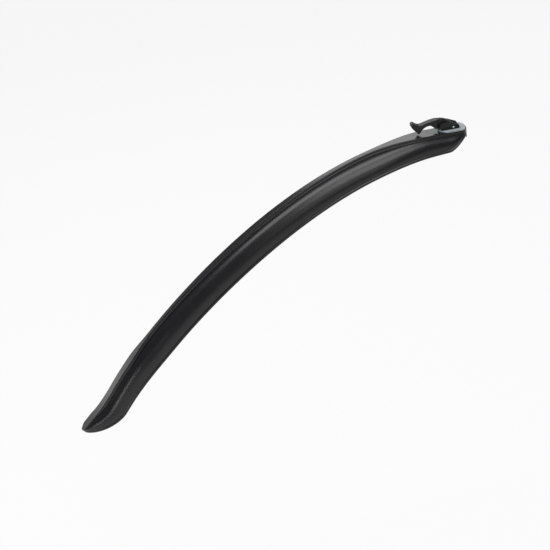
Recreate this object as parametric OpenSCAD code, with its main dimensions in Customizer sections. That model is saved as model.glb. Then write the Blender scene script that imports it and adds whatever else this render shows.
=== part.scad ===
// Clip-on bicycle mudguard: a curved half-round blade with a raised flat rib,
// a soft pad and a small pivoting clamp lever at the mount end.
// Millimetres. +X points out of the mount end, +Z is square to the flat deck
// that carries the lever, and +Y runs across the blade.
// The origin is at the front of the blade, level with the deck.

/* [Blade curve] */
// Length along the top of the blade, from the front to the tail tip
blade_length = 567; // [500:1:640]
// Length of the flat deck at the mount end
deck_length = 42; // [40:1:50]
// How far the tail would slope below the deck without its flick, in degrees
tail_slope = 64; // [50:0.5:72]
// How much more the blade bends near the mount than near the tail
early_bend = 0.275; // [0:0.025:0.6]
// How much more both ends bend than the middle
end_bend = 0.885; // [0:0.005:1]
// How far the tail tip flicks back out, in degrees
tail_flick = 20; // [0:1:32]
// Length over which the tail flicks out
flick_length = 70; // [50:1:90]

/* [Blade section] */
// Full width across the blade in the middle
blade_width = 46; // [42:1:52]
// Full width across the blade beside the lever
neck_width = 38.8; // [35:0.2:41]
// Depth of the sides in the middle, below the rib top
blade_depth = 27; // [21:0.5:30]
// Depth of the sides at the start of the neck
neck_depth = 17.2; // [14:0.2:19]
// Depth of the sides before the tail end
tail_depth = 23.4; // [18:0.1:26]
// Thickness of the moulded shell
wall = 1.8; // [1.4:0.1:2.4]
// How far the rim bead stands out of the side
bead_out = 1.1; // [0.4:0.1:1.6]
// Height of the rim bead
bead_height = 3.2; // [2.4:0.1:4.4]

/* [Blade ends] */
// Length over which the tail end is rounded off
tail_round = 50; // [36:1:60]
// Length over which the front end is rounded off
front_round = 23.4; // [16:0.2:26]
// Depth of the sides right behind the front end wall
corner_depth = 6.6; // [5.6:0.2:8]
// Depth of the front end wall
lip_depth = 9.4; // [8:0.2:12]
// Thickness of the front end wall
lip_thickness = 2.4; // [1.6:0.1:3]

/* [Rib] */
// Width of the rib where it forms the deck
deck_width = 20.8; // [20:0.2:26]
// Width of the rib in its two waists
waist_width = 7.8; // [6:0.2:10]
// Width of the rib between the waists
middle_width = 11; // [8:0.5:14]
// Width of the rib at the tail
tail_width = 16.5; // [10:0.5:18]
// Height of the rib above the side face
rib_height = 3.2; // [2.2:0.1:4.4]
// Length over which the deck narrows to the first waist
deck_taper = 70; // [50:1:90]
// Length over which the rib widens again before the tail
tail_taper = 40; // [30:1:60]
// Length of the wide rib at the tail
tail_rib = 103; // [80:1:130]

/* [Pad] */
// Thickness of the soft pad
pad_thickness = 1.6; // [1:0.1:2.2]
// Length of the pad
pad_length = 30.5; // [30:0.5:36]
// Length of the tongue in which the pad runs out at the back
pad_tongue = 9; // [6:0.5:12]
// Distance from the front of the blade back to the pad
pad_setback = 0.9; // [0.4:0.1:2]
// Margin from the side of the deck to the pad
pad_margin = 0.2; // [0.1:0.1:1]

/* [Lever] */
// Distance from the front of the blade back to the pin
pin_setback = 15; // [14:0.1:16]
// Height of the pin above the pad
pin_rise = 2.5; // [2.5:0.1:3]
// Pin diameter
pin_d = 2; // [1.6:0.1:2.2]
// Radial running clearance of the lever on the pin
pin_clearance = 0.05; // [0.03:0.01:0.1]
// Radius of the lever's rounded head
head_r = 2.3; // [2.1:0.1:2.3]
// Height of the hump on the lever's head above the pin
head_top = 4.5; // [3.6:0.1:4.6]
// Width of the lever between the cheeks
lever_width = 6.2; // [5:0.1:6.8]
// Width of the lever's arm behind the cheeks
arm_width = 8; // [7:0.1:9]
// Width of the finger grip
grip_width = 9; // [8:0.1:10]
// Distance from the pin back to the tip of the lever
lever_length = 45.4; // [44:0.2:52]
// Highest point of the lever above the deck
lever_height = 14.2; // [13.2:0.2:16]
// Thickness of the lever's arm over the finger gap
arm_thickness = 4.7; // [4:0.1:5.2]
// Clearance under the closed finger grip
grip_clearance = 1.8; // [1:0.1:3]

/* [Bracket] */
// Gap at each side of the lever's head
cheek_gap = 0.3; // [0.3:0.05:0.5]
// Thickness of each cheek
cheek = 2.1; // [1.5:0.1:2.4]
// Thickness of the base that joins the cheeks
base_thickness = 1.9; // [1.6:0.1:2.1]
// Highest point of the cheeks above the pad
cheek_height = 9.2; // [8.6:0.1:10]
// Length of the cheeks
cheek_length = 21.4; // [20.6:0.1:23]

/* [Screws] */
// Diameter of the two screws that hold the bracket
screw_d = 2.5; // [2:0.1:3]
// Diameter of their heads
screw_head_d = 4.4; // [3.8:0.1:5]
// Height of their heads
screw_head = 1.4; // [1:0.1:2]
// Distance between the screws
screw_spacing = 5.4; // [5.1:0.1:6]
// Radial clearance of the screws in the blade and the pad
screw_clearance = 0.15; // [0.1:0.05:0.3]

/* [Hidden] */
black = [0.06, 0.06, 0.07];
grey = [0.62, 0.66, 0.68];
steel = [0.75, 0.75, 0.77];
$fn = 48;
eps = 0.01;

// General curves
// Goes smoothly from 0 at x = from to 1 at x = to
function ease(x, from, to) = let (u = min(1, max(0, (x - from) / (to - from)))) u * u * (3 - 2 * u);
// Value between p and q at the share u
function mix(p, q, u) = p + (q - p) * u;
// Points of a cubic curve after its start point, up to its end point
function cubic(p0, p1, p2, p3, count) = [
    for (i = [1 : count])
        let (u = i / count, v = 1 - u)
            v * v * v * p0 + 3 * v * v * u * p1 + 3 * v * u * u * p2 + u * u * u * p3
];
// A point on a circle round a centre, at an angle from +X towards +Z
function polar(centre, r, angle) = centre + r * [cos(angle), sin(angle)];
// Direction of the outward normal of the line that touches circles c and d, given as [x, y, r]
function touch(c, d) = atan2(d[1] - c[1], d[0] - c[0])
    - acos((c[2] - d[2]) / norm([d[0] - c[0], d[1] - c[1]]));
// Outline of a belt around circles listed anticlockwise
belt_step = 8;
function belt(circles) = [
    for (i = [0 : len(circles) - 1])
        let (
            c = circles[i],
            before = circles[(i + len(circles) - 1) % len(circles)],
            after = circles[(i + 1) % len(circles)],
            start = touch(before, c),
            turn = (touch(c, after) - start + 2 * 360) % 360,
            count = max(2, ceil(turn / belt_step))
        )
            for (k = [0 : count])
                polar([c[0], c[1]], c[2], start + turn * k / count)
];
// An outline of points on one side of the X axis, closed by its mirror image
function mirrored(points) = concat(
    points,
    [for (i = [len(points) - 1 : -1 : 0]) [points[i][0], -points[i][1]]]
);

// Line of the blade, along the middle of the rib top
path_steps = 283;
path_step = blade_length / path_steps;
// Slope below the deck at the distance s from the front
function slope_at(s) =
    let (t = max(0, (s - deck_length) / (blade_length - deck_length)))
        tail_slope * (t + early_bend * t * (1 - t) + end_bend * t * (1 - t) * (1 - 2 * t))
            - tail_flick * ease(s, blade_length - flick_length, blade_length);
path = [
    for (
        i = 0, x = 0, z = 0;
        i <= path_steps;
        x = x - path_step * cos(slope_at((i + 0.5) * path_step)),
        z = z - path_step * sin(slope_at((i + 0.5) * path_step)),
        i = i + 1
    )
        [i * path_step, x, z]
];
path_x = [for (p = path) [p[0], p[1]]];
path_z = [for (p = path) [p[0], p[2]]];
// Point at the distance s, y across and h above the rib top
function on_blade(s, y, h) = [
    lookup(s, path_x) - h * sin(slope_at(s)),
    y,
    lookup(s, path_z) + h * cos(slope_at(s))
];

// Section of the blade
// How far s lies into the rounded ends, from 0 to 1 at the very end
function tail_end(s) = max(0, 1 - (blade_length - s) / tail_round);
function front_end(s) = max(0, 1 - s / front_round);
// Share of the full width that is left at s
narrowest = 0.05;
function end_width(s) = max(
    narrowest,
    sqrt(1 - pow(tail_end(s), 2)) * sqrt(1 - pow(front_end(s), 2.2))
);
// Half the width of the blade
neck_end = deck_length + deck_taper;
function full_width(s) = mix(neck_width, blade_width, ease(s, deck_length / 2, neck_end));
function half_width(s) = end_width(s) * full_width(s) / 2;
// Length over which the sides grow from the neck depth to the full depth
neck_growth = 0.75 * blade_length;
// Depth of the sides without the rounded ends
tail_shoal = blade_length - 1.5 * tail_rib;
function full_depth(s) = mix(neck_depth, blade_depth, 1 - pow(1 - min(1, s / neck_growth), 4))
    * mix(1, tail_depth / blade_depth, ease(s, tail_shoal, blade_length - tail_round));
function front_depth(s) = s <= lip_thickness
    ? lip_depth
    : mix(corner_depth, full_depth(s), pow(1 - pow(front_end(s), 1.6), 1.7));
function depth(s) = mix(bead_height, front_depth(s), 1 - pow(tail_end(s), 1.5));
// Half the width of the rib top, which stays inside the rounded ends
second_waist = blade_length - tail_rib - tail_taper;
rib_limit = 0.82;
function rib_width(s) = s < neck_end
    ? mix(deck_width, waist_width, ease(s, deck_length, neck_end))
    : s < second_waist
    ? mix(waist_width, middle_width, pow(sin(180 * (s - neck_end) / (second_waist - neck_end)), 2))
    : mix(waist_width, tail_width, ease(s, second_waist, second_waist + tail_taper));
function rib_half(s) = min(rib_width(s) / 2, rib_limit * half_width(s));
// Height of the rib, which fades out before the tail tip
rib_fade = blade_length - 0.9 * tail_round;
rib_end = blade_length - 0.3 * tail_round;
faded_rib = 0.4;
function rib_rise(s) = mix(rib_height, faded_rib, ease(s, rib_fade, rib_end));

side_steps = 6;
inner_steps = side_steps + 5;
edge_round = 1;
// Outside of one half of the section, from the middle of the rib down to the rim
function outer_half(s) =
    let (
        a = rib_half(s),
        b = half_width(s),
        c = rib_rise(s),
        d = depth(s),
        edge = min(edge_round, a / 4),
        foot = min(a + edge / 2, 0.88 * b),
        bead_top = min(bead_height, 0.4 * d),
        side_top = min(c, d / 2) - 0.05,
        bead = min(bead_out, b / 10),
        skirt = b - bead,
        side_end = d - bead_top
    )
        concat(
            [[a - 0.7 * edge, 0], [a - 0.15 * edge, -0.2 * edge], [a + 0.1 * edge, -c / 4]],
            [[mix(a, foot, 0.6), -0.8 * side_top], [mix(foot, skirt, 0.06), -side_top]],
            [
                for (i = [1 : side_steps])
                    let (u = 90 * i / side_steps)
                        [mix(foot, skirt, sin(u)), -mix(side_top, side_end, 1 - cos(u))]
            ],
            [
                [b - bead / 4, -side_end - 0.12 * bead_top],
                [b, -side_end - 0.4 * bead_top],
                [b, -d + bead_top / 4],
                [b - bead / 2, -d]
            ]
        );
// Inside of one half of the section, from the rim up to the middle of the rib
function inner_half(s) =
    let (
        a = rib_half(s),
        b = half_width(s),
        d = depth(s),
        skirt = max(0.45 * b, b - min(bead_out, b / 10) - wall),
        recess = min(max(a / 2, a - 0.8 * wall), 0.7 * skirt),
        foot = min(max(a, recess + 0.1), 0.85 * skirt),
        roof = min(wall, 0.45 * d),
        side_top = min(rib_rise(s) + 0.9 * roof, 0.7 * d),
        side_end = max(d - bead_height, side_top + 0.2 * (d - side_top)),
        open = s <= lip_thickness ? 0.04 : 1
    )
        [
            for (
                p = concat(
                    [[skirt, -d]],
                    [
                        for (i = [inner_steps : -1 : 1])
                            let (u = 90 * i / inner_steps)
                                [mix(foot, skirt, sin(u)), -mix(side_top, side_end, 1 - cos(u))]
                    ],
                    [
                        [mix(recess, foot, 0.5), -side_top],
                        [recess, -mix(roof, side_top, 0.4)],
                        [0.9 * recess, -roof]
                    ]
                )
            )
                [p[0], mix(-d, p[1], open)]
        ];
function flip(points) = [for (i = [len(points) - 1 : -1 : 0]) [-points[i][0], points[i][1]]];
function section(s) = concat(flip(outer_half(s)), outer_half(s), inner_half(s), flip(inner_half(s)));

// Stations along the blade, close together at both ends
front_steps = 8;
mid_steps = 50;
tail_steps = 15;
stations = concat(
    [for (share = [0, 0.05, 0.2, 0.5, 1]) share * lip_thickness],
    [lip_thickness + 0.3],
    [for (i = [1 : front_steps]) mix(lip_thickness, front_round, pow(i / front_steps, 1.3))],
    [for (i = [1 : mid_steps]) mix(front_round, blade_length - tail_round, i / mid_steps)],
    [for (i = [1 : tail_steps]) blade_length - tail_round * (1 - sin(87 * i / tail_steps))]
);

// Solid skin over a row of rings; the second half of each ring runs back beside the first
module loft(rings) {
    n = len(rings[0]);
    last = len(rings) - 1;
    // Triangles between the two halves of a ring, turned over where flipped is true
    function cap(start, flipped) = [
        for (j = [0 : n / 2 - 2])
            let (a = start + j, b = a + 1, c = start + n - 1 - j, d = c - 1)
                each flipped ? [[a, c, b], [b, c, d]] : [[a, b, c], [b, d, c]]
    ];
    polyhedron(
        points = [for (ring = rings) each ring],
        faces = concat(
            cap(0, false),
            cap(last * n, true),
            [
                for (i = [0 : last - 1], j = [0 : n - 1])
                    let (a = i * n + j, b = i * n + (j + 1) % n, c = a + n, d = b + n)
                        each [[a, c, b], [b, c, d]]
            ]
        ),
        convexity = 10
    );
}

// Places shared by the pieces at the mount end
pad_top = pad_thickness;
pin = [-pin_setback, pad_top + pin_rise];
pin_r = pin_d / 2;
base_top = pad_top + base_thickness;
cheek_inside = lever_width / 2 + cheek_gap;
cheek_outside = cheek_inside + cheek;
// Rounding of the cheeks at the front, in the middle and at the back
nose_r = 2.6;
brow_r = 4.2;
tail_r = cheek_height / 2;
cheek_front = pin[0] + nose_r + 3.9;
cheek_back = cheek_front - cheek_length;
screw_x = cheek_back + tail_r + 0.9;
screw_xs = [screw_x - screw_spacing / 2, screw_x + screw_spacing / 2];

// A cylinder across the blade, centred on the middle plane
module cross_cylinder(centre, r, length) {
    translate([centre[0], length / 2, centre[1]]) rotate([90, 0, 0]) cylinder(r = r, h = length);
}

// A side outline of X and Z points, given a thickness across the blade
module side_plate(points, from, to) {
    translate([0, to, 0]) rotate([90, 0, 0]) linear_extrude(height = to - from) polygon(points);
}

// Screw holes through whatever lies between two heights
module screw_holes(r, from, to) {
    for (x = screw_xs) translate([x, 0, from]) cylinder(r = r, h = to - from);
}

module blade() {
    color(black)
        difference() {
            loft([for (s = stations) [for (p = section(s)) on_blade(s, p[0], p[1])]]);
            screw_holes(screw_d / 2 + screw_clearance, -rib_height - wall, 1);
        }
}

// Half width of the pad at the distance s from the front
pad_end = pad_setback + pad_length;
function pad_half(s) = let (tongue = max(0, 1 - (pad_end - s) / pad_tongue))
    min(
        (deck_width / 2 - pad_margin) * pow(1 - pow(tongue, 1.3), 0.85),
        half_width(s - pad_setback) - pad_margin
    );
pad_steps = 10;
pad_front = 8;
pad_stations = concat(
    [for (i = [1 : pad_steps]) pad_setback + pad_front * pow(i / pad_steps, 2)],
    [for (i = [0 : pad_steps]) pad_end - pad_tongue * (1 - sin(87 * i / pad_steps))]
);

module grip_pad() {
    color(grey)
        difference() {
            linear_extrude(height = pad_thickness)
                polygon(mirrored([for (s = pad_stations) [-s, pad_half(s)]]));
            screw_holes(screw_d / 2 + screw_clearance, -1, pad_thickness + 1);
        }
}

// Outline of a cheek, high at the back and sloping down over the pin to the front
toe_r = 1;
cheek_outline = belt([
    [cheek_back + tail_r, pad_top + tail_r, tail_r],
    [cheek_front - toe_r, pad_top + toe_r, toe_r],
    [cheek_front - nose_r, pad_top + nose_r - 0.2, nose_r],
    [cheek_back + tail_r + 5, pad_top + cheek_height - brow_r - 0.2, brow_r]
]);
// Room in front of the pin for the lever's head as it turns
head_room = head_top + 0.4;
bridge_height = 1.4;

module lever_bracket() {
    inner_width = 2 * (cheek_inside + eps);
    base_start = cheek_back + tail_r / 2;
    bridge_start = pin[0] + head_room;
    color(black)
        difference() {
            union() {
                side_plate(cheek_outline, cheek_inside, cheek_outside);
                side_plate(cheek_outline, -cheek_outside, -cheek_inside);
                translate([base_start, -inner_width / 2, pad_top])
                    cube([screw_xs[1] + screw_d - base_start, inner_width, base_thickness]);
                translate([bridge_start, -inner_width / 2, pad_top])
                    cube([cheek_front - toe_r / 2 - bridge_start, inner_width, bridge_height]);
            }
            cross_cylinder(pin, pin_r, 4 * cheek_outside);
            screw_holes(screw_d / 2, pad_top - 1, base_top + 1);
        }
}

// Side outline of the lever, from its head back along the underside and forward over the top
base_clearance = 0.5;
crest = [pin[0] - 16.5, lever_height];
arch = [crest[0] - 9, lever_height - arm_thickness - 0.4];
shoulder = [pin[0] - 4, base_top + base_clearance];
heel = [pin[0] - 17.6, base_top + base_clearance];
grip_foot = [pin[0] - lever_length + 7.6, grip_clearance];
grip_tip = [pin[0] - lever_length, lever_height - 1.2];
notch = [grip_foot[0] + 1.6, lever_height - 3.4];
head_start = polar(pin, head_r, 30);
head_end = polar(pin, head_r, -100);
hump = pin + [-0.6, head_top - 0.05];
lever_outline = concat(
    [for (i = [0 : 10]) polar(pin, head_r, mix(30, -100, i / 10))],
    cubic(head_end, head_end + [-1.8, 0.3], shoulder + [1.8, 0], shoulder, 4),
    [heel],
    cubic(heel, heel + [-2.6, 0], arch + [3, 0], arch, 7),
    cubic(arch, arch + [-5.6, 0], grip_foot + [4, 3.8], grip_foot + [1.2, 0.8], 8),
    cubic(grip_foot + [1.2, 0.8], grip_foot + [0.6, 0.1], grip_foot + [-0.4, 0], grip_foot + [-1, 0.7], 3),
    cubic(grip_foot + [-1, 0.7], grip_foot + [-3, 4], grip_tip + [-0.6, -4], grip_tip, 9),
    cubic(grip_tip, grip_tip + [0.3, 1.2], grip_tip + [1.9, 1.7], grip_tip + [3.2, 1.1], 4),
    cubic(grip_tip + [3.2, 1.1], grip_tip + [4.8, 0.2], notch + [-2, -0.1], notch, 5),
    cubic(notch, notch + [4.6, 0.3], crest + [-9, 0.1], crest, 9),
    cubic(crest, crest + [7.6, 0], hump + [-5, 3], hump, 8),
    cubic(hump, hump + [1.4, -0.8], head_start + [0.2, 1.7], head_start, 5)
);
// Half of the plan outline of the lever, from the head to the tip
lever_plan = [
    [pin[0] + head_r + 1, lever_width / 2],
    [cheek_back - 0.8, lever_width / 2],
    [cheek_back - 2.4, arm_width / 2],
    [grip_foot[0] + 4, arm_width / 2],
    [grip_foot[0], grip_width / 2],
    [grip_tip[0] + 2.2, grip_width / 2],
    [grip_tip[0] + 0.5, grip_width / 2 - 0.9],
    [grip_tip[0] - 1, grip_width / 2 - 2.4]
];

module clamp_lever() {
    color(black)
        difference() {
            intersection() {
                side_plate(lever_outline, -grip_width, grip_width);
                linear_extrude(height = 2 * lever_height) polygon(mirrored(lever_plan));
            }
            cross_cylinder(pin, pin_r + pin_clearance, 4 * lever_width);
        }
}

// How far each end of the pin stands out of its cheek
pin_proud = 0.15;

module pivot_pin() {
    color(steel) cross_cylinder(pin, pin_r, 2 * (cheek_outside + pin_proud));
}

// How far the screws stay below the top of the base
screw_short = 0.2;

module bracket_screws() {
    sunk = screw_head / 2;
    color(steel)
        for (x = screw_xs) {
            translate([x, 0, -wall - screw_head]) cylinder(d = screw_head_d, h = screw_head);
            translate([x, 0, -wall - sunk]) cylinder(d = screw_d, h = base_top - screw_short + wall + sunk);
        }
}

blade();
grip_pad();
lever_bracket();
clamp_lever();
pivot_pin();
bracket_screws();
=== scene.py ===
"""Looks of a clip-on bicycle mudguard: finer meshes, materials, studio and camera."""
import math

import bmesh
import bpy
import numpy as np
from mathutils import Matrix, Vector


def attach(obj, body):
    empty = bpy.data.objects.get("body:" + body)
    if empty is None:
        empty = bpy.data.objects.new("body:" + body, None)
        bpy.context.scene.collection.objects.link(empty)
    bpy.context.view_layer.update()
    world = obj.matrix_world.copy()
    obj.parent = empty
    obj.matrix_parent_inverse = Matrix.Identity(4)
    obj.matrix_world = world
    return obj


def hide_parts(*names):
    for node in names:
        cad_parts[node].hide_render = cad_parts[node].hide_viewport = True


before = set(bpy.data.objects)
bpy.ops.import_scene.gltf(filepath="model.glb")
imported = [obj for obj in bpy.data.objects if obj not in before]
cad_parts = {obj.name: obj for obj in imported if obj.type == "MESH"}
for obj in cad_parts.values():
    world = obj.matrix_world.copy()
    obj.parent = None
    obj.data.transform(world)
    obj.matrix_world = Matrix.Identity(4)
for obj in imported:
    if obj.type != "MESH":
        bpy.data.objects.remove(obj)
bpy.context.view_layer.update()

MM = 0.001

# Blade, in millimetres and degrees: the same driving dimensions as the part's own
BLADE_LENGTH = 567
DECK_LENGTH = 42
TAIL_SLOPE = 64
EARLY_BEND = 0.275
END_BEND = 0.885
TAIL_FLICK = 20
FLICK_LENGTH = 70
BLADE_WIDTH = 46
NECK_WIDTH = 38.8
BLADE_DEPTH = 27
NECK_DEPTH = 17.2
TAIL_DEPTH = 23.4
WALL = 1.8
BEAD_OUT = 1.1
BEAD_HEIGHT = 3.2
TAIL_ROUND = 50
FRONT_ROUND = 23.4
CORNER_DEPTH = 6.6
LIP_DEPTH = 9.4
LIP_THICKNESS = 2.4
DECK_WIDTH = 20.8
WAIST_WIDTH = 7.8
MIDDLE_WIDTH = 11
TAIL_WIDTH = 16.5
RIB_HEIGHT = 3.2
DECK_TAPER = 70
TAIL_TAPER = 40
TAIL_RIB = 103

# Where the width, the depth and the rib change along the blade
NECK_END = DECK_LENGTH + DECK_TAPER
NECK_GROWTH = 0.75 * BLADE_LENGTH
SECOND_WAIST = BLADE_LENGTH - TAIL_RIB - TAIL_TAPER
TAIL_SHOAL = BLADE_LENGTH - 1.5 * TAIL_RIB
RIB_FADE = BLADE_LENGTH - 0.9 * TAIL_ROUND
RIB_END = BLADE_LENGTH - 0.3 * TAIL_ROUND

# Rib height at the tail tip, the widest the rib may be as a share of the blade, and its edge
FADED_RIB = 0.4
RIB_LIMIT = 0.82
EDGE_ROUND = 1

# Powers that bend the outline of the front in plan, the neck's growth, the corner and the tail
FRONT_POWER = 2.2
NECK_POWER = 4
CORNER_POWERS = (1.6, 1.7)
TAIL_POWER = 1.5
NARROWEST = 0.05

# How finely the blade is drawn
PATH_STEPS = 285
SIDE_STEPS = 20
INNER_STEPS = 14
RING_SAMPLES = 2
LIP_STATIONS = 8
FRONT_STATIONS = 24
MID_STATIONS = 150
TAIL_STATIONS = 40
LIP_GAP = 0.3
FRONT_CROWDING = 1.3
TAIL_REACH = 87

# Soft edges, in millimetres
VOXEL = 0.2
PAD_ROUNDS = 4
LEVER_ROUNDS = 12
BRACKET_BEVEL = 0.35
BEVEL_SEGMENTS = 3

# Camera, fitted to the photograph: the blade leans by the roll in its frame
CAMERA_AZIMUTH = -10
CAMERA_ELEVATION = 27
CAMERA_ROLL = 6.83
CAMERA_DISTANCE = 1.5
VIEW_WIDTH = 0.605
VIEW_CENTRE = (-0.22476, 0.00062, -0.13498)
SENSOR = 36

# Studio: the world's strength, the floor, and how white the floor is where it is looked at
WORLD_LIGHT = 0.16
FLOOR_SIZE = 60
FLOOR_Z = -0.55
FLOOR_COLOUR = (0.9, 0.9, 0.9)
FLOOR_GLOW = 0.9

# Softboxes: name, direction from the object's middle, distance, width, height and radiance
SOFTBOXES = (
    ("key_softbox", (-0.32, 0.03, 0.95), 1.6, 1.7, 0.8, 4),
    ("high_front_softbox", (-0.08, -0.55, 0.83), 1.6, 1.1, 0.9, 3.4),
    ("front_softbox", (-0.1, -0.88, 0.42), 1.7, 0.9, 0.5, 1.1),
    ("back_softbox", (0.08, 0.86, 0.5), 1.8, 1.1, 0.5, 2.8),
    ("left_softbox", (-0.86, -0.5, 0.01), 1.6, 0.25, 0.25, 7),
)
SIDEWAYS = 0.8

# Materials: where noise turns from one colour or sheen to the other, and the sheen's spread
COLOUR_STOPS = (0.35, 0.65)
SHEEN_STOPS = (0.3, 0.7)
SHEEN_SPREAD = 0.015


def mix(p, q, share):
    """Value between p and q at the given share."""
    return p + (q - p) * share


def ease(x, start, end):
    """Goes smoothly from 0 at start to 1 at end."""
    u = min(1, max(0, (x - start) / (end - start)))
    return u * u * (3 - 2 * u)


def slope_at(s):
    """Slope of the blade below its deck at the distance s from the front, in radians."""
    t = max(0, (s - DECK_LENGTH) / (BLADE_LENGTH - DECK_LENGTH))
    bend = t + EARLY_BEND * t * (1 - t) + END_BEND * t * (1 - t) * (1 - 2 * t)
    flick = TAIL_FLICK * ease(s, BLADE_LENGTH - FLICK_LENGTH, BLADE_LENGTH)
    return math.radians(TAIL_SLOPE * bend - flick)


def blade_path():
    """Distances along the middle of the rib top, with X and Z there."""
    step = BLADE_LENGTH / PATH_STEPS
    rows = [(0, 0, 0)]
    for i in range(PATH_STEPS):
        slope = slope_at((i + 0.5) * step)
        _, x, z = rows[-1]
        rows.append(((i + 1) * step, x - step * math.cos(slope), z - step * math.sin(slope)))
    return np.array(rows).T


PATH_S, PATH_X, PATH_Z = blade_path()


def on_blade(s, y, h):
    """Point at the distance s, y across and h above the rib top, in metres."""
    slope = slope_at(s)
    x = np.interp(s, PATH_S, PATH_X) - h * math.sin(slope)
    z = np.interp(s, PATH_S, PATH_Z) + h * math.cos(slope)
    return (x * MM, y * MM, z * MM)


def tail_end(s):
    """How far s lies into the rounded tail, from 0 to 1 at the tip."""
    return max(0, 1 - (BLADE_LENGTH - s) / TAIL_ROUND)


def front_end(s):
    """How far s lies into the rounded front, from 0 to 1 at the front."""
    return max(0, 1 - s / FRONT_ROUND)


def half_width(s):
    """Half the width of the blade."""
    ends = math.sqrt(1 - tail_end(s) ** 2) * math.sqrt(1 - front_end(s) ** FRONT_POWER)
    full = mix(NECK_WIDTH, BLADE_WIDTH, ease(s, DECK_LENGTH / 2, NECK_END))
    return max(NARROWEST, ends) * full / 2


def depth(s):
    """Depth of the sides below the rib top."""
    growth = 1 - (1 - min(1, s / NECK_GROWTH)) ** NECK_POWER
    tail = ease(s, TAIL_SHOAL, BLADE_LENGTH - TAIL_ROUND)
    full = mix(NECK_DEPTH, BLADE_DEPTH, growth) * mix(1, TAIL_DEPTH / BLADE_DEPTH, tail)
    front = LIP_DEPTH
    if s > LIP_THICKNESS:
        inner, outer = CORNER_POWERS
        front = mix(CORNER_DEPTH, full, (1 - front_end(s) ** inner) ** outer)
    return mix(BEAD_HEIGHT, front, 1 - tail_end(s) ** TAIL_POWER)


def rib_half(s):
    """Half the width of the rib top."""
    if s < NECK_END:
        width = mix(DECK_WIDTH, WAIST_WIDTH, ease(s, DECK_LENGTH, NECK_END))
    elif s < SECOND_WAIST:
        share = math.sin(math.pi * (s - NECK_END) / (SECOND_WAIST - NECK_END)) ** 2
        width = mix(WAIST_WIDTH, MIDDLE_WIDTH, share)
    else:
        width = mix(WAIST_WIDTH, TAIL_WIDTH, ease(s, SECOND_WAIST, SECOND_WAIST + TAIL_TAPER))
    return min(width / 2, RIB_LIMIT * half_width(s))


def rib_rise(s):
    """Height of the rib, which fades out before the tail tip."""
    return mix(RIB_HEIGHT, FADED_RIB, ease(s, RIB_FADE, RIB_END))


def outer_half(s):
    """Outside of one half of the section, from the middle of the rib down to the rim."""
    a, b, c, d = rib_half(s), half_width(s), rib_rise(s), depth(s)
    edge = min(EDGE_ROUND, a / 4)
    foot = min(a + 0.5 * edge, 0.88 * b)
    bead_top = min(BEAD_HEIGHT, 0.4 * d)
    side_top = min(c, 0.5 * d) - 0.05
    bead = min(BEAD_OUT, 0.1 * b)
    skirt = b - bead
    side_end = d - bead_top
    flat = a - 0.7 * edge
    rows = [(share * flat, 0) for share in (0.3, 0.7, 0.9, 1)]
    rows += [(a - 0.15 * edge, -0.2 * edge), (a + 0.1 * edge, -0.25 * c)]
    rows += [(mix(a, foot, 0.6), -0.75 * side_top), (foot, -side_top)]
    rows += [(mix(foot, skirt, 0.05), -side_top)]
    for i in range(1, SIDE_STEPS + 1):
        u = math.pi / 2 * i / SIDE_STEPS
        rows.append((mix(foot, skirt, math.sin(u)), -mix(side_top, side_end, 1 - math.cos(u))))
    rows += [(b - 0.25 * bead, -side_end - 0.12 * bead_top), (b, -side_end - 0.4 * bead_top)]
    rows += [(b, -d + 0.25 * bead_top), (b - 0.5 * bead, -d)]
    return rows


def inner_half(s):
    """Inside of one half of the section, from the rim up to the middle of the rib."""
    a, b, c, d = rib_half(s), half_width(s), rib_rise(s), depth(s)
    skirt = max(0.45 * b, b - min(BEAD_OUT, 0.1 * b) - WALL)
    recess = min(max(0.5 * a, a - 0.8 * WALL), 0.7 * skirt)
    foot = min(max(a, recess + 0.1), 0.85 * skirt)
    roof = min(WALL, 0.45 * d)
    side_top = min(c + 0.9 * roof, 0.7 * d)
    side_end = max(d - BEAD_HEIGHT, side_top + 0.2 * (d - side_top))
    rows = [(skirt, -d)]
    for i in range(INNER_STEPS, 0, -1):
        u = math.pi / 2 * i / INNER_STEPS
        rows.append((mix(foot, skirt, math.sin(u)), -mix(side_top, side_end, 1 - math.cos(u))))
    rows += [(mix(recess, foot, 0.5), -side_top), (recess, -mix(roof, side_top, 0.4))]
    rows += [(0.9 * recess, -roof), (0.4 * recess, -roof)]
    opened = 0.04 if s <= LIP_THICKNESS else 1
    return [(y, mix(-d, h, opened)) for y, h in rows]


def smooth_loop(points, samples):
    """Closed cubic spline near the points, with so many samples to each of them."""
    p = np.array(points)
    before, after, later = np.roll(p, 1, 0), np.roll(p, -1, 0), np.roll(p, -2, 0)
    parts = []
    for k in range(samples):
        t = k / samples
        parts.append(
            (
                (1 - t) ** 3 * before
                + (3 * t**3 - 6 * t**2 + 4) * p
                + (1 + 3 * t + 3 * t**2 - 3 * t**3) * after
                + t**3 * later
            )
            / 6
        )
    return np.stack(parts, 1).reshape(-1, 2)


def section(s):
    """Closed outline of the blade's section at s, with its corners rounded."""
    outer, inner = outer_half(s), inner_half(s)
    left_outer = [(-y, h) for y, h in reversed(outer)]
    left_inner = [(-y, h) for y, h in reversed(inner)]
    return smooth_loop(left_outer + outer + inner + left_inner, RING_SAMPLES)


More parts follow.
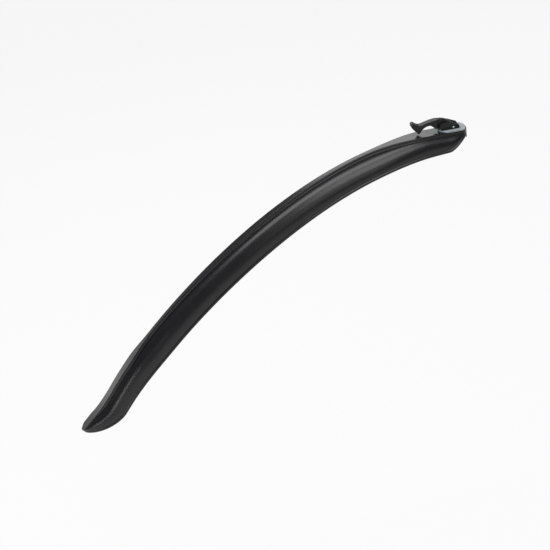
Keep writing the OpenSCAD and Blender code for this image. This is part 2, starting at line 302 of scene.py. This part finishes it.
def blade_stations():
    """Distances of the rings, close together at both ends."""
    lip = [LIP_THICKNESS * (i / LIP_STATIONS) ** 2 for i in range(LIP_STATIONS + 1)]
    front = [
        mix(LIP_THICKNESS + LIP_GAP, FRONT_ROUND, (i / FRONT_STATIONS) ** FRONT_CROWDING)
        for i in range(FRONT_STATIONS + 1)
    ]
    middle = [
        mix(FRONT_ROUND, BLADE_LENGTH - TAIL_ROUND, i / MID_STATIONS)
        for i in range(1, MID_STATIONS + 1)
    ]
    tail = [
        BLADE_LENGTH - TAIL_ROUND * (1 - math.sin(math.radians(TAIL_REACH * i / TAIL_STATIONS)))
        for i in range(1, TAIL_STATIONS + 1)
    ]
    return lip + front + middle + tail


def new_object(name, mesh):
    """An object of that mesh in the scene."""
    piece = bpy.data.objects.new(name, mesh)
    bpy.context.scene.collection.objects.link(piece)
    return piece


def shade(mesh, angle):
    """Smooth shading, with edges sharper than the angle kept sharp."""
    mesh.shade_smooth()
    mesh.set_sharp_from_angle(angle=math.radians(angle))


def fix_normals(mesh):
    """Faces turned outwards."""
    bm = bmesh.new()
    bm.from_mesh(mesh)
    bmesh.ops.recalc_face_normals(bm, faces=bm.faces)
    bm.to_mesh(mesh)
    bm.free()


def make_blade():
    """The blade as a fine skin over its rings, closed by a strip of faces at each end."""
    rings = [[on_blade(s, y, h) for y, h in section(s)] for s in blade_stations()]
    n = len(rings[0])
    last = (len(rings) - 1) * n
    faces = []
    for start in range(0, last, n):
        for j in range(n):
            k = (j + 1) % n
            faces.append((start + j, start + n + j, start + n + k, start + k))
    for j in range(n // 2 - 1):
        faces.append((j, j + 1, n - 2 - j, n - 1 - j))
        faces.append((last + n - 1 - j, last + n - 2 - j, last + j + 1, last + j))
    mesh = bpy.data.meshes.new("blade_shell")
    mesh.from_pydata([p for ring in rings for p in ring], [], faces)
    mesh.validate()
    fix_normals(mesh)
    shade(mesh, angle=50)
    return new_object("blade_shell", mesh)


def copy_of_node(name, node_name):
    """A new piece with a welded copy of a node's mesh."""
    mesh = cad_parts[node_name].data.copy()
    mesh.name = name
    mesh.materials.clear()
    bm = bmesh.new()
    bm.from_mesh(mesh)
    bmesh.ops.remove_doubles(bm, verts=bm.verts, dist=0.001 * MM)
    bm.to_mesh(mesh)
    bm.free()
    return new_object(name, mesh)


def apply_modifiers(piece):
    """The piece's mesh with its modifiers worked in."""
    graph = bpy.context.evaluated_depsgraph_get()
    mesh = bpy.data.meshes.new_from_object(piece.evaluated_get(graph))
    piece.modifiers.clear()
    piece.data = mesh


def make_moulded(name, node_name, rounds):
    """A node's form with the soft edges of a moulded piece."""
    piece = copy_of_node(name, node_name)
    remesh = piece.modifiers.new("remesh", "REMESH")
    remesh.mode = "VOXEL"
    remesh.voxel_size = VOXEL * MM
    soften = piece.modifiers.new("soften", "SMOOTH")
    soften.factor = 0.5
    soften.iterations = rounds
    apply_modifiers(piece)
    shade(piece.data, angle=60)
    return piece


def make_bevelled(name, node_name, width):
    """A node's form with small rounded edges."""
    piece = copy_of_node(name, node_name)
    bm = bmesh.new()
    bm.from_mesh(piece.data)
    bmesh.ops.dissolve_limit(bm, angle_limit=math.radians(1), verts=bm.verts, edges=bm.edges)
    bm.to_mesh(piece.data)
    bm.free()
    bevel = piece.modifiers.new("bevel", "BEVEL")
    bevel.width = width * MM
    bevel.segments = BEVEL_SEGMENTS
    bevel.limit_method = "ANGLE"
    bevel.angle_limit = math.radians(35)
    bevel.harden_normals = True
    apply_modifiers(piece)
    shade(piece.data, angle=40)
    return piece


def node(tree, kind, links=(), **values):
    """A shader node with values set and links made from (socket, from node, from socket)."""
    made = tree.nodes.new(kind)
    for key, value in values.items():
        setattr(made, key, value)
    for socket, source, output in links:
        tree.links.new(source.outputs[output], made.inputs[socket])
    return made


def new_material(name):
    """A material with its shader, and its coordinates in metres in the part's own frame."""
    material = bpy.data.materials.new(name)
    material.use_nodes = True
    tree = material.node_tree
    shader = tree.nodes["Principled BSDF"]
    place = node(tree, "ShaderNodeTexCoord")
    return material, tree, shader, place


def noise(tree, place, scale, detail=2, roughness=0.5):
    """Noise over the part's own coordinates, with so many cells to a metre."""
    made = node(tree, "ShaderNodeTexNoise", [("Vector", place, "Object")])
    made.inputs["Scale"].default_value = scale
    made.inputs["Detail"].default_value = detail
    made.inputs["Roughness"].default_value = roughness
    return made


def ramp(tree, source, output, low, high, start=0.0, end=1.0):
    """The source's value turned into a range between two numbers."""
    made = node(tree, "ShaderNodeMapRange", [("Value", source, output)])
    made.inputs["From Min"].default_value = start
    made.inputs["From Max"].default_value = end
    made.inputs["To Min"].default_value = low
    made.inputs["To Max"].default_value = high
    return made


def paint(tree, shader, source, first, second):
    """A base colour that wanders between two with the noise."""
    made = node(tree, "ShaderNodeValToRGB", [("Fac", source, "Fac")])
    stops = made.color_ramp.elements
    stops[0].position, stops[1].position = COLOUR_STOPS
    stops[0].color = (*first, 1)
    stops[1].color = (*second, 1)
    tree.links.new(made.outputs["Color"], shader.inputs["Base Color"])


def polish(tree, shader, source, low, high):
    """A roughness that wanders between two values with the noise."""
    rough = ramp(tree, source, "Fac", low, high, *SHEEN_STOPS)
    tree.links.new(rough.outputs["Result"], shader.inputs["Roughness"])


def emboss(tree, shader, source, output, strength, height):
    """Fine relief from the source's value, so high in millimetres."""
    bump = node(tree, "ShaderNodeBump", [("Height", source, output)])
    bump.inputs["Strength"].default_value = strength
    bump.inputs["Distance"].default_value = height * MM
    tree.links.new(bump.outputs["Normal"], shader.inputs["Normal"])


def moulded_plastic(name, dark, light, gloss, grain, specular):
    """Black plastic with a fine spark-eroded grain, in millimetres, and slow changes of sheen."""
    material, tree, shader, place = new_material(name)
    paint(tree, shader, noise(tree, place, 55, 3), dark, light)
    streaks = noise(tree, place, 420, 4, 0.6)
    polish(tree, shader, streaks, gloss - SHEEN_SPREAD, gloss + SHEEN_SPREAD)
    cells = node(tree, "ShaderNodeTexVoronoi", [("Vector", place, "Object")])
    cells.inputs["Scale"].default_value = 1000 / grain
    fine = noise(tree, place, 2200 / grain, 3, 0.7)
    both = [(0, cells, "Distance"), (1, fine, "Fac")]
    height = node(tree, "ShaderNodeMath", both, operation="ADD")
    emboss(tree, shader, height, "Value", strength=0.08, height=0.01)
    shader.inputs["Specular IOR Level"].default_value = specular
    return material


def soft_rubber():
    """Grey elastomer with a dusty, slightly mottled face."""
    material, tree, shader, place = new_material("grey_elastomer")
    clouds = noise(tree, place, 160, 4, 0.6)
    paint(tree, shader, clouds, (0.31, 0.35, 0.37), (0.36, 0.40, 0.42))
    fine = noise(tree, place, 2600, 3, 0.7)
    polish(tree, shader, fine, 0.5, 0.66)
    emboss(tree, shader, fine, "Fac", strength=0.3, height=0.03)
    shader.inputs["Specular IOR Level"].default_value = 0.35
    return material


def turned_steel():
    """Plain steel with fine turning marks."""
    material, tree, shader, place = new_material("turned_steel")
    clouds = noise(tree, place, 700, 4, 0.6)
    paint(tree, shader, clouds, (0.50, 0.50, 0.52), (0.66, 0.66, 0.67))
    fine = noise(tree, place, 5200)
    polish(tree, shader, fine, 0.2, 0.4)
    emboss(tree, shader, fine, "Fac", strength=0.2, height=0.01)
    shader.inputs["Metallic"].default_value = 1
    return material


def dress(piece, material):
    """The piece shows that material alone."""
    piece.data.materials.clear()
    piece.data.materials.append(material)


def place_piece(piece, body, node_name, material):
    """The piece stands for a node, on its body and its material."""
    dress(piece, material)
    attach(piece, body)
    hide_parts(node_name)


def seen_plainly(tree):
    """1 where a ray of the camera, a reflection or a clear material looks, 0 elsewhere."""
    path = node(tree, "ShaderNodeLightPath")
    pair = [(0, path, "Is Camera Ray"), (1, path, "Is Glossy Ray")]
    either = node(tree, "ShaderNodeMath", pair, operation="MAXIMUM")
    pair = [(0, either, "Value"), (1, path, "Is Transmission Ray")]
    return node(tree, "ShaderNodeMath", pair, operation="MAXIMUM")


def make_world():
    """A dim even light from all round."""
    world = bpy.data.worlds.new("studio")
    bpy.context.scene.world = world
    world.use_nodes = True
    background = world.node_tree.nodes["Background"]
    background.inputs["Color"].default_value = (1, 1, 1, 1)
    background.inputs["Strength"].default_value = WORLD_LIGHT


def make_floor():
    """A wide white floor below the object, which keeps its shadow."""
    mesh = bpy.data.meshes.new("floor")
    half = FLOOR_SIZE / 2
    corners = [(-half, -half), (half, -half), (half, half), (-half, half)]
    mesh.from_pydata([(x, y, FLOOR_Z) for x, y in corners], [], [(0, 1, 2, 3)])
    floor = new_object("floor", mesh)
    material = bpy.data.materials.new("white_floor")
    material.use_nodes = True
    tree = material.node_tree
    tree.nodes.remove(tree.nodes["Principled BSDF"])
    paper = node(tree, "ShaderNodeBsdfDiffuse")
    paper.inputs["Color"].default_value = (*FLOOR_COLOUR, 1)
    white = node(tree, "ShaderNodeEmission")
    share = ramp(tree, seen_plainly(tree), "Value", 0, FLOOR_GLOW)
    both = node(tree, "ShaderNodeMixShader", [("Fac", share, "Result")])
    tree.links.new(paper.outputs["BSDF"], both.inputs[1])
    tree.links.new(white.outputs["Emission"], both.inputs[2])
    output = tree.nodes["Material Output"]
    tree.links.new(both.outputs["Shader"], output.inputs["Surface"])
    mesh.materials.append(material)


def softbox(name, direction, distance, width, height, radiance):
    """A soft lamp in a direction from the object's middle, facing it.

    Its width runs along X, or along Y where it stands sideways of the object.
    """
    light = bpy.data.lights.new(name, "AREA")
    light.shape = "RECTANGLE"
    light.size = width
    light.size_y = height
    light.energy = radiance * math.pi * width * height
    lamp = bpy.data.objects.new(name, light)
    bpy.context.scene.collection.objects.link(lamp)
    back = Vector(direction).normalized()
    along = Vector((1, 0, 0)) if abs(back.x) < SIDEWAYS else Vector((0, 1, 0))
    up = back.cross(along).normalized()
    turned = Matrix((up.cross(back), up, back)).transposed()
    place = Vector(VIEW_CENTRE) + back * distance
    lamp.matrix_world = Matrix.Translation(place) @ turned.to_4x4()
    lamp.visible_camera = False


def make_lamps():
    """Large softboxes above and high in front, dimmer ones round the object."""
    for row in SOFTBOXES:
        softbox(*row)


def make_camera():
    """Camera at the photograph's angle, leaning by the roll."""
    azimuth, elevation = math.radians(CAMERA_AZIMUTH), math.radians(CAMERA_ELEVATION)
    back = Vector(
        (
            math.sin(azimuth) * math.cos(elevation),
            -math.cos(azimuth) * math.cos(elevation),
            math.sin(elevation),
        )
    )
    right = Vector((math.cos(azimuth), math.sin(azimuth), 0))
    up = back.cross(right)
    axes = Matrix((right, up, back)).transposed()
    turned = Matrix.Rotation(math.radians(CAMERA_ROLL), 3, "Y") @ axes
    lens = bpy.data.cameras.new("camera")
    lens.sensor_width = SENSOR
    lens.lens = SENSOR * CAMERA_DISTANCE / VIEW_WIDTH
    camera = bpy.data.objects.new("camera", lens)
    bpy.context.scene.collection.objects.link(camera)
    place = Vector(VIEW_CENTRE) + turned.col[2] * CAMERA_DISTANCE
    camera.matrix_world = Matrix.Translation(place) @ turned.to_4x4()
    bpy.context.scene.camera = camera


make_camera()
make_world()
make_floor()
make_lamps()

shell_plastic = moulded_plastic(
    "shell_plastic",
    dark=(0.004, 0.004, 0.0055),
    light=(0.006, 0.006, 0.008),
    gloss=0.3,
    grain=0.5,
    specular=0.5,
)
lever_plastic = moulded_plastic(
    "lever_plastic",
    dark=(0.006, 0.006, 0.007),
    light=(0.009, 0.009, 0.010),
    gloss=0.40,
    grain=0.45,
    specular=0.3,
)
bracket_plastic = moulded_plastic(
    "bracket_plastic",
    dark=(0.006, 0.006, 0.007),
    light=(0.009, 0.009, 0.009),
    gloss=0.36,
    grain=0.45,
    specular=0.3,
)
rubber = soft_rubber()
steel = turned_steel()

shell = make_blade()
place_piece(shell, "guard", "blade", shell_plastic)
pad = make_moulded("soft_pad", "grip_pad", PAD_ROUNDS)
place_piece(pad, "guard", "grip_pad", rubber)
lever = make_moulded("finger_lever", "clamp_lever", LEVER_ROUNDS)
place_piece(lever, "lever", "clamp_lever", lever_plastic)
bracket = make_bevelled("hinge_bracket", "lever_bracket", BRACKET_BEVEL)
place_piece(bracket, "guard", "lever_bracket", bracket_plastic)
for name in ("pivot_pin", "bracket_screws"):
    dress(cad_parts[name], steel)

bpy.context.scene.view_settings.view_transform = "Standard"
